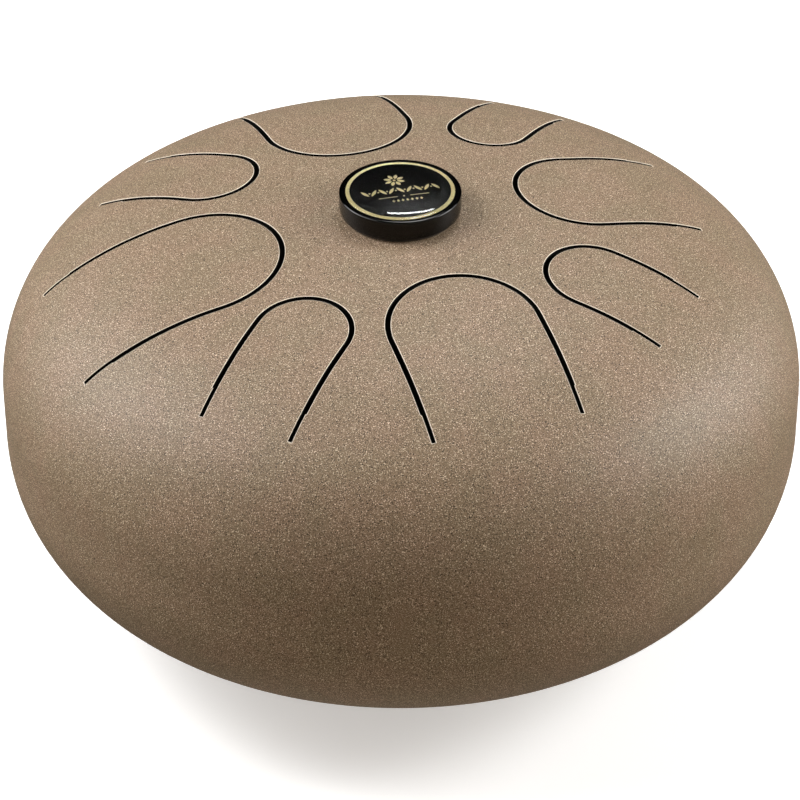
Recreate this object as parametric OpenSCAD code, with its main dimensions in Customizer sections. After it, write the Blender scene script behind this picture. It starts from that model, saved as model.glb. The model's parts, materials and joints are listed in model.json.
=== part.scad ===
// Steel tongue drum: two pressed half shells, eight tongues cut in the upper one,
// a bolted crown puck with a domed badge, and three rubber feet.
// Millimetres. +Z is up, the floor is z = 0, and the drum's axis is the Z axis.
// The player sits on the -Y side.

/* [Shells] */
// Outer diameter of the body at its widest
body_d = 400; // [398:2:402]
// Height of the straight flange on each half shell
flange_h = 12.7; // [12:0.1:14]
// Scale of the 28-45-53 triangle between the knuckle's and the shoulder's centres
shoulder_unit = 1.5; // [1.4:0.1:1.6]
// Scale of the 11-60-61 triangle between the shoulder's and the crown's centres
crown_unit = 7.9; // [7.9:0.1:8]
// Thickness of the pressed steel sheet
sheet_t = 2; // [1.5:0.1:2.5]
// Gap between the floor and the lowest point of the shell's curve
floor_gap = 7; // [5:0.5:9]

/* [Seam] */
// Height of the lip that stands up inside the upper shell
lip_h = 8; // [5:0.5:12]
// Radial clearance between lip and upper shell
lip_clearance = 0.1; // [0.05:0.05:0.2]
// Height of the weld bead that fills the groove under the upper shell's edge
bead_h = 3; // [2:0.5:4]

/* [Tongues] */
// Direction of the first large tongue, in degrees from +X
tongue_turn = -71.5; // [-90:0.1:-60]
// Half widths of the large tongues, measured to the middle of the slot
large_half_w = [36.7, 40.5, 37, 32.7]; // [30:0.1:41]
// Distances from the axis to the tips of the large tongues
large_tip = [59.4, 62.4, 63.6, 62.1]; // [56:0.1:66]
// Distances from the axis to the roots of the large tongues
large_root = [155.5, 172, 158, 147]; // [140:0.5:175]
// Half widths of the small tongues, measured to the middle of the slot
small_half_w = [23.5, 23.7, 20.4, 24]; // [18:0.1:25]
// Distances from the axis to the tips of the small tongues
small_tip = [80.8, 83.2, 82.4, 80.6]; // [78:0.1:86]
// Distances from the axis to the roots of the small tongues
small_root = [161.5, 158, 150, 149]; // [140:0.5:165]
// Width of the slots
slot_w = 2.7; // [2:0.1:3]
// Width of the narrower tuning cuts that end each leg of a slot
cut_w = 2.1; // [1.4:0.1:2.4]
// Length of the tuning cuts
cut_l = 14; // [8:0.5:18]
// Gap that lets a tongue hinge at its root
root_gap = 0.15; // [0.1:0.05:0.3]

/* [Crown puck] */
// Diameter of the puck
puck_d = 60; // [50:1:66]
// Height of the puck's flat top above the crown
puck_top = 11.2; // [9:0.1:14]
// Thickness of the gasket under the puck
gasket_t = 1; // [0.5:0.1:2]
// Diameter of the badge
badge_d = 53.6; // [46:0.1:56]
// Thickness of the badge's plate
badge_t = 0.8; // [0.5:0.1:1]
// Width of the metal ring printed round the badge's edge
ring_w = 2; // [1:0.1:3]
// Rise of the clear resin dome above the puck's flat top
resin_rise = 1.3; // [0.8:0.1:2]
// Thread diameter of the hub screw
hub_screw_d = 6; // [5:1:8]

/* [Sound port and feet] */
// Diameter of the sound port in the bottom
port_d = 90; // [70:1:110]
// Distance from the axis to the feet
foot_place_r = 78; // [70:1:84]
// Diameter of a foot where it meets the shell
foot_d = 28; // [24:1:32]
// Thread diameter of the foot screws
foot_screw_d = 5; // [4:1:6]

/* [Hidden] */
$fn = 180;
fine = 2880;                           // facets round the large, nearly flat circles

coat = [0.62, 0.52, 0.41];      // speckled bronze-brown powder coat
steel = [0.72, 0.72, 0.74];     // zinc-plated fasteners
black = [0.05, 0.05, 0.05];     // rubber and badge
gold = [0.83, 0.68, 0.35];      // badge ring

body_r = body_d / 2;
puck_r = puck_d / 2;
badge_r = badge_d / 2;
port_r = port_d / 2;

// The sheet's outline is three tangent arcs: knuckle, shoulder and crown. Neighbouring
// arcs meet on the line through their centres. Whole-number right triangles give those
// lines their directions, so that the arcs meet exactly.
knuckle_dir = [28, 45];
crown_dir = [11, 60];
shoulder_x = crown_dir[0] * crown_unit;
knuckle_x = shoulder_x + knuckle_dir[0] * shoulder_unit;

knuckle_r = body_r - knuckle_x;
shoulder_r = knuckle_r + norm(knuckle_dir) * shoulder_unit;
crown_r = shoulder_r + norm(crown_dir) * crown_unit;

// Centres of the arcs, in (radius, height above the equator)
knuckle_c = [knuckle_x, flange_h];
shoulder_c = knuckle_c - knuckle_dir * shoulder_unit;
crown_c = shoulder_c - crown_dir * crown_unit;

half_h = crown_c[1] + crown_r;         // height of one half shell
equator_z = floor_gap + half_h;        // height of the seam
crown_z = equator_z + half_h;          // top of the upper shell

cut_past = 1;                          // reach of a cutting shape past the face it cuts
tongue_step = 45;                      // angle from one tongue to the next
gasket_inset = 2;                      // from the puck's edge to the gasket's
recess_depth = 1.2;                    // depth of the badge's recess in the puck
recess_clearance = 0.2;                // radial gap round the badge
ring_t = 0.2;                          // thickness of the badge's ring
hub_hole_clearance = 0.3;              // radial gap round the hub screw
hub_head_r = 5.5;
hub_head_h = 4;
hub_socket_d = 5.8;                    // across the corners of the hexagon socket
hub_socket_depth = 2.5;
head_gap = 0.2;                        // gap between the screw's head and the badge
hub_washer_r = 12;
hub_washer_t = 1.5;
hub_nut_af = 10;                       // across flats
hub_nut_h = 6;
thread_past_nut = 2;                   // thread that shows past each nut
seat_sag = 0.12;                       // gap between a flat washer and the curved shell

foot_count = 3;
foot_turn = -90;                       // direction of the first foot
foot_tilt = asin(foot_place_r / crown_r);
foot_cone_h = 20;                      // height of a foot's cone before the floor cuts it
foot_cone_r = 11;                      // radius at the cone's lower end
foot_seat = 5;                         // from the shell to the screw head's seat
foot_head_r = 4.75;
foot_head_h = 3;
foot_socket_d = 3.5;                   // across the corners of the hexagon socket
foot_socket_depth = 1.8;
foot_hole_clearance = 0.25;
foot_washer_r = 8;
foot_washer_t = 1.2;
foot_nut_af = 8;
foot_nut_h = 4.7;

// ---- the pressed sheet's outline ----

// Part of a ring of the sheet's thickness, between two directions from its centre
module arc_band(centre, r, from, to) {
    reach = ceil(r / norm(from));
    translate(centre) intersection() {
        difference() {
            circle(r);
            circle(r - sheet_t);
        }
        polygon(reach * [[0, 0], from, from + to, to]);
    }
}

// Half of the sheet's section above the flange, with the equator at y = 0
module curved_section() {
    arc_band(knuckle_c, knuckle_r, [norm(knuckle_dir), 0], knuckle_dir);
    arc_band(shoulder_c, shoulder_r, knuckle_dir, crown_dir);
    arc_band(crown_c, crown_r, crown_dir, [0, norm(crown_dir)]);
}

// The upper shell before its windows are cut
module upper_sheet() {
    translate([0, 0, equator_z]) rotate_extrude() {
        curved_section();
        translate([body_r - sheet_t, 0]) square([sheet_t, flange_h]);
    }
}

// The flange of the lower shell, which steps inwards to a lip inside the upper shell
module joggled_flange() {
    lip_out = body_r - sheet_t - lip_clearance;
    lip_in = lip_out - sheet_t;
    bend = 1.2;
    polygon([
        [body_r, -flange_h], [body_r, -bead_h], [lip_out, 0], [lip_out, lip_h],
        [lip_in, lip_h], [lip_in, -bend], [body_r - sheet_t, -bend - bead_h],
        [body_r - sheet_t, -flange_h]
    ]);
}

// ---- tongues ----

function tongue_angle(k) = tongue_turn - tongue_step * k;
function large_angle(k) = tongue_angle(2 * k);
function small_angle(k) = tongue_angle(2 * k + 1);

// Places a plan outline, drawn along +X, as a tall prism through the upper shell
module through_dome(angle) {
    translate([0, 0, equator_z]) rotate([0, 0, angle])
        linear_extrude(height = half_h + cut_past) children();
}

// Plan of the tongue itself
module tongue_plan(half_w, tip, root) {
    w = half_w - slot_w / 2;
    centre = tip + half_w;
    translate([centre, 0]) circle(w);
    translate([centre, -w]) square([root - root_gap - centre, 2 * w]);
}

// Plan of the window that holds the tongue and its slot
module window_plan(half_w, tip, root) {
    w = half_w + slot_w / 2;
    end_w = half_w - slot_w / 2 + cut_w;
    centre = tip + half_w;
    translate([centre, 0]) circle(w);
    translate([centre, -w]) square([root - cut_l - centre, 2 * w]);
    translate([centre, -end_w]) square([root - centre, 2 * end_w]);
}

module tongue(angle, half_w, tip, root) {
    color(coat) intersection() {
        upper_sheet();
        through_dome(angle) tongue_plan(half_w, tip, root);
    }
}

module tongue_large(k) {
    tongue(large_angle(k), large_half_w[k], large_tip[k], large_root[k]);
}

module tongue_small(k) {
    tongue(small_angle(k), small_half_w[k], small_tip[k], small_root[k]);
}

// ---- shells ----

module top_shell() {
    color(coat) difference() {
        upper_sheet();
        for (k = [0:3]) {
            through_dome(large_angle(k))
                window_plan(large_half_w[k], large_tip[k], large_root[k]);
            through_dome(small_angle(k))
                window_plan(small_half_w[k], small_tip[k], small_root[k]);
        }
        translate([0, 0, crown_z - 2 * sheet_t])
            cylinder(r = hub_screw_d / 2 + hub_hole_clearance, h = 4 * sheet_t);
    }
}

module bottom_shell() {
    color(coat) difference() {
        translate([0, 0, equator_z]) rotate_extrude() {
            mirror([0, 1]) curved_section();
            joggled_flange();
        }
        cylinder(r = port_r, h = floor_gap + 5 * sheet_t);
        each_foot() translate([0, 0, -sheet_t])
            cylinder(r = foot_screw_d / 2 + foot_hole_clearance, h = 3 * sheet_t);
    }
}

// Ground flush and coated over, so the seam doesn't show outside
module weld_bead() {
    color(coat) translate([0, 0, equator_z]) rotate_extrude()
        polygon([
            [body_r, -bead_h], [body_r, 0], [body_r - sheet_t - lip_clearance, 0]
        ]);
}

// ---- crown puck ----

// Section of the crown's ball in (radius, height above the crown), grown by a little
module crown_disc(growth) {
    translate([0, -crown_r]) circle(crown_r + growth, $fn = fine);
}

module hub_gasket() {
    bore_r = hub_screw_d / 2 + hub_hole_clearance;
    color(black) translate([0, 0, crown_z]) rotate_extrude() difference() {
        intersection() {
            translate([bore_r, -cut_past])
                square([puck_r - gasket_inset - bore_r, cut_past + 2 * gasket_t]);
            crown_disc(gasket_t);
        }
        crown_disc(0);
    }
}

// Outline of the puck, from the axis outwards, with its height above the crown
module puck_section() {
    edge = 0.8;          // bevel round the top
    foot_in = 1.2;       // the side leans in by this much towards the shell
    foot_z = 3.5;
    recess_r = badge_r + recess_clearance;
    floor_z = puck_top - recess_depth;
    head_r = hub_head_r + hub_hole_clearance;
    seat_z = floor_z - hub_head_h - head_gap;
    bore_r = hub_screw_d / 2 + hub_hole_clearance;
    polygon([
        [bore_r, -cut_past], [puck_r - foot_in, -cut_past], [puck_r - foot_in / 3, foot_z / 3],
        [puck_r, foot_z], [puck_r, puck_top - edge], [puck_r - edge, puck_top],
        [recess_r, puck_top], [recess_r, floor_z], [head_r, floor_z], [head_r, seat_z],
        [bore_r, seat_z]
    ]);
}

module hub_puck() {
    color(black) translate([0, 0, crown_z]) rotate_extrude() difference() {
        puck_section();
        crown_disc(gasket_t);
    }
}

badge_z = crown_z + puck_top - recess_depth;     // underside of the badge's plate
hub_seat_z = badge_z - hub_head_h - head_gap;    // underside of the screw's head
hub_washer_z = crown_z - sheet_t - seat_sag - hub_washer_t;

module hub_screw() {
    shank = hub_seat_z - hub_washer_z + hub_nut_h + thread_past_nut;
    color(steel) difference() {
        translate([0, 0, hub_seat_z]) union() {
            cylinder(r = hub_head_r, h = hub_head_h);
            translate([0, 0, -shank]) cylinder(d = hub_screw_d, h = shank + hub_head_h / 2);
        }
        translate([0, 0, hub_seat_z + hub_head_h - hub_socket_depth])
            cylinder(d = hub_socket_d, h = hub_socket_depth + cut_past, $fn = 6);
    }
}

module hub_washer() {
    color(steel) translate([0, 0, hub_washer_z]) difference() {
        cylinder(r = hub_washer_r, h = hub_washer_t);
        translate([0, 0, -cut_past])
            cylinder(r = hub_screw_d / 2 + hub_hole_clearance, h = hub_washer_t + 2 * cut_past);
    }
}

// Hexagon nut with its bottom face on z = 0
module hex_nut(across_flats, height, thread_d) {
    difference() {
        intersection() {
            cylinder(d = across_flats / cos(30), h = height, $fn = 6);
            translate([0, 0, -across_flats / 20])
                cylinder(d1 = across_flats, d2 = across_flats + 2 * height, h = height + 1);
        }
        translate([0, 0, -cut_past]) cylinder(d = thread_d, h = height + 2 * cut_past);
    }
}

module hub_nut() {
    color(steel) translate([0, 0, hub_washer_z - hub_nut_h])
        hex_nut(hub_nut_af, hub_nut_h, hub_screw_d);
}

module badge_plate() {
    color(black) translate([0, 0, badge_z]) cylinder(r = badge_r, h = badge_t);
}

module badge_ring() {
    color(gold) translate([0, 0, badge_z + badge_t]) difference() {
        cylinder(r = badge_r, h = ring_t);
        translate([0, 0, -cut_past]) cylinder(r = badge_r - ring_w, h = ring_t + 2 * cut_past);
    }
}

// Clear cap of resin over the plate: a flat underside, a short wall and a top that is
// domed like half an ellipse, steepest at the rim
module badge_resin() {
    steps = 24;
    rim_h = recess_depth - badge_t;
    dome = [for (i = [0:steps]) let (a = 90 * i / steps)
        [badge_r * cos(a), rim_h + resin_rise * sin(a)]];
    color([0.9, 0.9, 0.95, 0.3]) translate([0, 0, badge_z + badge_t]) rotate_extrude()
        polygon(concat(
            [[0, 0], [badge_r - ring_w, 0], [badge_r - ring_w, ring_t], [badge_r, ring_t]],
            dome
        ));
}

// ---- feet ----

// Stands its children on the lower shell at each foot, with local +Z pointing inwards
module each_foot() {
    for (k = [0:foot_count - 1])
        translate([0, 0, floor_gap + crown_r])
            rotate([0, 0, foot_turn + k * 360 / foot_count])
                rotate([0, -foot_tilt, 0]) translate([0, 0, -crown_r]) children();
}

module rubber_feet() {
    color(black) intersection() {
        each_foot() difference() {
            translate([0, 0, -foot_cone_h])
                cylinder(r1 = foot_cone_r, r2 = foot_d / 2, h = foot_cone_h + cut_past);
            translate([0, 0, crown_r]) sphere(r = crown_r);
            translate([0, 0, -foot_cone_h - cut_past])
                cylinder(r = foot_head_r + foot_hole_clearance, h = foot_cone_h + cut_past - foot_seat);
            translate([0, 0, -foot_cone_h - cut_past])
                cylinder(r = foot_screw_d / 2 + foot_hole_clearance, h = foot_cone_h + 3 * cut_past);
        }
        cylinder(r = foot_place_r + foot_d, h = 2 * foot_d);
    }
}

module foot_screws() {
    shank = foot_seat + sheet_t + seat_sag + foot_washer_t + foot_nut_h + thread_past_nut;
    color(steel) each_foot() translate([0, 0, -foot_seat]) difference() {
        union() {
            translate([0, 0, -foot_head_h]) cylinder(r = foot_head_r, h = foot_head_h);
            cylinder(d = foot_screw_d, h = shank);
        }
        translate([0, 0, -foot_head_h - cut_past])
            cylinder(d = foot_socket_d, h = foot_socket_depth + cut_past, $fn = 6);
    }
}

module foot_washers() {
    color(steel) each_foot() translate([0, 0, sheet_t + seat_sag]) difference() {
        cylinder(r = foot_washer_r, h = foot_washer_t);
        translate([0, 0, -cut_past])
            cylinder(r = foot_screw_d / 2 + foot_hole_clearance, h = foot_washer_t + 2 * cut_past);
    }
}

module foot_nuts() {
    color(steel) each_foot() translate([0, 0, sheet_t + seat_sag + foot_washer_t])
        hex_nut(foot_nut_af, foot_nut_h, foot_screw_d);
}

top_shell();
tongue_large(0);  // tongue_large_1
tongue_large(1);  // tongue_large_2
tongue_large(2);  // tongue_large_3
tongue_large(3);  // tongue_large_4
tongue_small(0);  // tongue_small_1
tongue_small(1);  // tongue_small_2
tongue_small(2);  // tongue_small_3
tongue_small(3);  // tongue_small_4
bottom_shell();
weld_bead();
hub_gasket();
hub_puck();
hub_screw();
hub_washer();
hub_nut();
badge_plate();
badge_ring();
badge_resin();
rubber_feet();
foot_screws();
foot_washers();
foot_nuts();
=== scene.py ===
"""Looks of the steel tongue drum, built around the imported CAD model.

Everything is in metres, in the CAD's frame: +Z up, floor at z = 0, the drum's axis on Z and
the player on the -Y side. The pressed sheet is described by its own outline: three tangent
arcs and a straight flange. A place on a shell is given in the unrolled plane, where a point's
distance from the centre is its distance along the sheet from the crown.
"""

import json
import math

import bmesh
import bpy
import numpy as np
from mathutils import Matrix, Vector
from mathutils.geometry import delaunay_2d_cdt


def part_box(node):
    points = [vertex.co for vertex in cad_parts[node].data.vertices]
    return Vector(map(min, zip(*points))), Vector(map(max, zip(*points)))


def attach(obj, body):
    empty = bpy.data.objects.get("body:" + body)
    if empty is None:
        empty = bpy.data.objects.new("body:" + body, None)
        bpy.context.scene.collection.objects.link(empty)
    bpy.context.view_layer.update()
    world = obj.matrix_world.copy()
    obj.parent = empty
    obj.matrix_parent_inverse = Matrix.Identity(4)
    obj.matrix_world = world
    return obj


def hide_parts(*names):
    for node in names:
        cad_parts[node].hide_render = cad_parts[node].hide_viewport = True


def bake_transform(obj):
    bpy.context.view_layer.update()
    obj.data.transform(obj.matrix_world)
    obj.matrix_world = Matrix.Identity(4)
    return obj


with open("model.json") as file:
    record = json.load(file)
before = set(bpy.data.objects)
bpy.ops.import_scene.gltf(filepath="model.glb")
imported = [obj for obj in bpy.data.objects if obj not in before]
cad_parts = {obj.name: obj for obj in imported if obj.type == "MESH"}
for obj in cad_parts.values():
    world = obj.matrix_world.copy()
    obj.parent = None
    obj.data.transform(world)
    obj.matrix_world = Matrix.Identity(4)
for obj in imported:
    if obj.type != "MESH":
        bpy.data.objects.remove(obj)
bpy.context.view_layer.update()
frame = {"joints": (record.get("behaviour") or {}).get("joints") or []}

MM = 0.001


# ---- sizes ----

BODY_R = (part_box("weld_bead")[1].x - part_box("weld_bead")[0].x) / 2
BODY_R = round(BODY_R / MM) * MM
SEAM_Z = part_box("top_shell")[0].z
CROWN_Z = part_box("top_shell")[1].z
SHEET_T = 2 * MM
FLANGE_H = 12.7 * MM

# Whole-number directions of the lines through the arcs' centres, and their scales
KNUCKLE_DIR = (28, 45)
CROWN_DIR = (11, 60)
KNUCKLE_UNIT = 1.5 * MM
CROWN_UNIT = 7.9 * MM

SLOT_W = 2.7 * MM
CUT_W = 2.1 * MM
CUT_L = 14 * MM
LARGE_HALF_W = (36.7 * MM, 40.5 * MM, 37 * MM, 32.7 * MM)
LARGE_TIP = (59.4 * MM, 62.4 * MM, 63.6 * MM, 62.1 * MM)
SMALL_HALF_W = (23.5 * MM, 23.7 * MM, 20.4 * MM, 24 * MM)
SMALL_TIP = (80.8 * MM, 83.2 * MM, 82.4 * MM, 80.6 * MM)

EDGE_R = 0.25 * MM         # the coat's rounding along the slots
ROUND_STEPS = 4
SHARP_SHEET = 25            # degrees
GRID_STEP = 4 * MM          # spacing of the shells' meshes
SEGMENTS = 360              # steps round the drum's axis
BEAD_H = 3 * MM
LIP_H = 8 * MM
LIP_GAP = 0.1 * MM
BEND_H = 1.2 * MM
PORT_R = 45 * MM
CLEAR_STEP = 0.55 * GRID_STEP

PUCK_R = 30 * MM
PUCK_TOP = 11.2 * MM
PUCK_LEAN = 1.2 * MM
PUCK_FOOT_Z = 3.5 * MM
RECESS_DEPTH = 1.2 * MM
RECESS_GAP = 0.2 * MM
GASKET_R = 28 * MM
GASKET_T = 1 * MM
BADGE_R = 26.8 * MM
BADGE_T = 0.8 * MM
BADGE_TURN = math.radians(13)
RING_W = 2 * MM
RING_T = 0.2 * MM
RESIN_RISE = 1.3 * MM
RESIN_POWER = 2

HUB_SCREW_R = 3 * MM
HUB_GAP = 0.3 * MM
HUB_HOLE_R = HUB_SCREW_R + HUB_GAP
HUB_HEAD_R = 5.5 * MM
HUB_HEAD_H = 4 * MM
HEAD_GAP = 0.2 * MM
HUB_WASHER_R = 12 * MM
HUB_WASHER_T = 1.5 * MM
HUB_NUT_AF = 10 * MM
HUB_NUT_H = 6 * MM
HUB_PITCH = 1 * MM
HUB_THREADED = 14 * MM
HUB_SOCKET_AF = 5 * MM
HUB_SOCKET_DEPTH = 2.5 * MM
SEAT_SAG = 0.12 * MM
THREAD_PAST = 2 * MM
THREAD_DEPTH = 0.5          # of the pitch

FOOT_PLACE_R = 78 * MM
FOOT_R = 14 * MM
FOOT_CONE_R = 11 * MM
FOOT_CONE_H = 20 * MM
FOOT_SEAT = 5 * MM
FOOT_SCREW_R = 2.5 * MM
FOOT_GAP = 0.25 * MM
FOOT_HOLE_R = FOOT_SCREW_R + FOOT_GAP
FOOT_HEAD_R = 4.75 * MM
FOOT_HEAD_H = 3 * MM
FOOT_WASHER_R = 8 * MM
FOOT_WASHER_T = 1.2 * MM
FOOT_NUT_AF = 8 * MM
FOOT_NUT_H = 4.7 * MM
FOOT_PITCH = 0.8 * MM
FOOT_THREADED = 10 * MM
FOOT_SOCKET_AF = 3 * MM
FOOT_SOCKET_DEPTH = 1.8 * MM
FOOT_FILLET = 1.2 * MM

# the room's brightness against a direction's z, on the camera's side and behind the drum
FRONT_WORLD = ((-1.0, 0.55), (-0.75, 0.2), (-0.1, 0.42), (0.1, 0.87), (0.3, 0.82), (0.55, 0.1))
BACK_WORLD = ((-1.0, 0.55), (-0.75, 0.12), (-0.4, 0.0), (0.5, 0.0), (1.0, 0.04))
WORLD_BLEND = 0.15          # how far the two halves of the room fade into each other
WORLD_STRENGTH = 2.0
ROOM_TINT = (1.0, 0.87, 0.71)
FLOOR_R = 1.5
FLOOR_GLOW = 0.4
BACKDROP_R = 9
LIGHT_AIM = (0, 0, 0.13)

CAMERA_LENS = 157.5
CAMERA_SENSOR = 36
CAMERA_DISTANCE = 1.7793
CAMERA_RISE = 34.84         # degrees above the horizon
CAMERA_ROLL = -0.27         # degrees
CAMERA_SHIFT_X = -0.6 * MM
CAMERA_DROP = 9.6 * MM      # from the seam to the height that it looks at


# ---- the sheet's outline ----

def sheet_arcs():
    """Arcs from crown to flange: centre radius, centre height over the seam, radius, first and last angle."""
    crown_angle = math.atan2(CROWN_DIR[1], CROWN_DIR[0])
    knuckle_angle = math.atan2(KNUCKLE_DIR[1], KNUCKLE_DIR[0])
    shoulder_x = CROWN_DIR[0] * CROWN_UNIT
    knuckle_x = shoulder_x + KNUCKLE_DIR[0] * KNUCKLE_UNIT
    knuckle_r = BODY_R - knuckle_x
    shoulder_r = knuckle_r + math.hypot(*KNUCKLE_DIR) * KNUCKLE_UNIT
    crown_r = shoulder_r + math.hypot(*CROWN_DIR) * CROWN_UNIT
    shoulder_z = FLANGE_H - KNUCKLE_DIR[1] * KNUCKLE_UNIT
    crown_z = shoulder_z - CROWN_DIR[1] * CROWN_UNIT
    return (
        (0, crown_z, crown_r, math.pi / 2, crown_angle),
        (shoulder_x, shoulder_z, shoulder_r, crown_angle, knuckle_angle),
        (knuckle_x, FLANGE_H, knuckle_r, knuckle_angle, 0),
    )


ARCS = sheet_arcs()
CROWN_R = ARCS[0][2]
ARC_LENGTH = sum(arc[2] * (arc[3] - arc[4]) for arc in ARCS)
SHEET_LENGTH = ARC_LENGTH + FLANGE_H


def outline(s):
    """The outer surface at distances s from the crown: radius, height over the seam, outward normal."""
    s = np.atleast_1d(np.asarray(s, float))
    r, z = np.full(len(s), BODY_R), FLANGE_H - (s - ARC_LENGTH)
    normal_r, normal_z = np.ones(len(s)), np.zeros(len(s))
    start = 0
    for centre_r, centre_z, radius, first, last in ARCS:
        length = radius * (first - last)
        here = (s >= start) & (s < start + length)
        angle = first - (s[here] - start) / radius
        r[here] = centre_r + radius * np.cos(angle)
        z[here] = centre_z + radius * np.sin(angle)
        normal_r[here], normal_z[here] = np.cos(angle), np.sin(angle)
        start += length
    return r, z, normal_r, normal_z


TABLE_S = np.linspace(0, ARC_LENGTH, 20001)
TABLE_R = outline(TABLE_S)[0]


def along_sheet(r):
    """Distance along the sheet from the crown to the place at radius r."""
    return np.interp(r, TABLE_R, TABLE_S)


def unroll(plan):
    """Plan points to the unrolled plane."""
    plan = np.asarray(plan, float)
    r = np.hypot(plan[:, 0], plan[:, 1])
    return plan * (along_sheet(r) / np.maximum(r, 1e-12))[:, None]


def on_sheet(flat, depth=0.0, up=1):
    """Points of the unrolled plane to space, depth below the outer surface; up is -1 for the lower shell."""
    flat = np.asarray(flat, float)
    angle = np.arctan2(flat[:, 1], flat[:, 0])
    r, z, normal_r, normal_z = outline(np.hypot(flat[:, 0], flat[:, 1]))
    r = r - depth * normal_r
    return np.stack([r * np.cos(angle), r * np.sin(angle), SEAM_Z + up * (z - depth * normal_z)], 1)


def sheet_normals(points, up=1):
    """Outward normals of a shell's surfaces at points of space."""
    points = np.asarray(points, float)
    r, z = np.hypot(points[:, 0], points[:, 1]), up * (points[:, 2] - SEAM_Z)
    normal_r, normal_z = np.ones(len(r)), np.zeros(len(r))
    for centre_r, centre_z, _, first, last in reversed(ARCS):
        angle = np.arctan2(z - centre_z, r - centre_r)
        here = (angle >= last - 1e-9) & (z > FLANGE_H)
        normal_r[here], normal_z[here] = np.cos(angle[here]), np.sin(angle[here])
    turn = points[:, :2] / np.maximum(r, 1e-12)[:, None]
    return np.column_stack([turn * normal_r[:, None], up * normal_z])


# ---- tongues ----

def tongue_sizes():
    """Name to (direction, half width, tip, root), with direction and root from the CAD's joints."""
    joints = {joint["child"]: joint["pos_m"] for joint in frame["joints"]}
    sizes = {}
    for kind, widths, tips in (("large", LARGE_HALF_W, LARGE_TIP), ("small", SMALL_HALF_W, SMALL_TIP)):
        for k, (half_w, tip) in enumerate(zip(widths, tips)):
            name = f"tongue_{kind}_{k + 1}"
            x, y = joints[name][:2]
            sizes[name] = (math.atan2(y, x), half_w, tip, math.hypot(x, y))
    return sizes


TONGUES = tongue_sizes()
LEG_STEP = 3 * MM
HEAD_STEPS = 56
ROOT_STEPS = 20
FAN_STEPS = 4


def straight(start, end, offset):
    """Samples from start up to, but without, end: rows of x, y and the way into the sheet."""
    count = max(1, math.ceil(math.dist(start, end) / LEG_STEP))
    return [
        (start[0] + (end[0] - start[0]) * i / count, start[1] + (end[1] - start[1]) * i / count, *offset)
        for i in range(count)
    ]


def fan(corner, first, last):
    """One corner, repeated while the way into the sheet turns from first to last."""
    rows = []
    for i in range(FAN_STEPS + 1):
        t = i / FAN_STEPS * math.pi / 2
        rows.append((*corner, first[0] * math.cos(t) + last[0] * math.sin(t),
                     first[1] * math.cos(t) + last[1] * math.sin(t)))
    return rows


def head(centre_x, radius, inwards):
    """Half circle round the tongue's tip, from its -y side to its +y side."""
    rows = []
    for i in range(HEAD_STEPS):
        a = -math.pi / 2 - math.pi * i / HEAD_STEPS
        rows.append((centre_x + radius * math.cos(a), radius * math.sin(a),
                     -inwards * math.cos(a), -inwards * math.sin(a)))
    return rows


def root_line(root, half_w):
    """Samples along the root, where sheet and tongue are one, without its two corners."""
    reach = half_w - EDGE_R
    return [(root, reach - 2 * reach * i / ROOT_STEPS, 0, 0) for i in range(1, ROOT_STEPS)]


def tongue_edge(half_w, tip, root):
    """Outline of a tongue that points towards -x, with the way into its sheet."""
    w, centre = half_w - SLOT_W / 2, tip + half_w
    return (
        straight((root, -w), (centre, -w), (0, 1))
        + head(centre, w, 1)
        + straight((centre, w), (root, w), (0, -1))
        + [(root, w, 0, -1)]
        + root_line(root, w)
    )


def window_edge(half_w, tip, root):
    """Outline of the shell's window round a tongue and its slot, with the way into the shell's sheet."""
    w, wide, centre = half_w - SLOT_W / 2, half_w + SLOT_W / 2, tip + half_w
    end, step = w + CUT_W, root - CUT_L
    return (
        fan((root, -w), (0, 1), (1, 0))
        + fan((root, -end), (1, 0), (0, -1))
        + straight((root, -end), (step, -end), (0, -1))[1:]
        + [(step, -end, 1, -1)]
        + fan((step, -wide), (1, 0), (0, -1))
        + straight((step, -wide), (centre, -wide), (0, -1))[1:]
        + head(centre, wide, -1)
        + straight((centre, wide), (step, wide), (0, 1))
        + fan((step, wide), (0, 1), (1, 0))
        + [(step, end, 1, 1)]
        + straight((step, end), (root, end), (0, 1))[1:]
        + fan((root, end), (0, 1), (1, 0))
        + fan((root, w), (1, 0), (0, -1))
        + root_line(root, w)
    )


def turned(rows, angle):
    """Outline rows turned about the drum's axis."""
    rows = np.array(rows)
    turn = np.array([[math.cos(angle), math.sin(angle)], [-math.sin(angle), math.cos(angle)]])
    return rows[:, :2] @ turn, rows[:, 2:] @ turn


# ---- meshes ----

def new_object(name, verts, faces, materials, face_material=None):
    """A smooth-shaded mesh object with its slots and face materials."""
    mesh = bpy.data.meshes.new(name)
    mesh.from_pydata([tuple(v) for v in verts], [], [tuple(f) for f in faces])
    for material in materials:
        mesh.materials.append(material)
    if face_material is not None:
        mesh.polygons.foreach_set("material_index", face_material)
    mesh.polygons.foreach_set("use_smooth", [True] * len(mesh.polygons))
    obj = bpy.data.objects.new(name, mesh)
    bpy.context.scene.collection.objects.link(obj)
    return obj


def cleaned(obj, sharp=35):
    """Merges doubled points, drops faces with no area, turns normals outwards and marks the sharp edges."""
    work = bmesh.new()
    work.from_mesh(obj.data)
    bmesh.ops.remove_doubles(work, verts=work.verts, dist=0.002 * MM)
    bmesh.ops.dissolve_degenerate(work, edges=work.edges, dist=0.002 * MM)
    bmesh.ops.recalc_face_normals(work, faces=work.faces)
    work.to_mesh(obj.data)
    work.free()
    obj.data.set_sharp_from_angle(angle=math.radians(sharp))
    return obj


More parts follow.
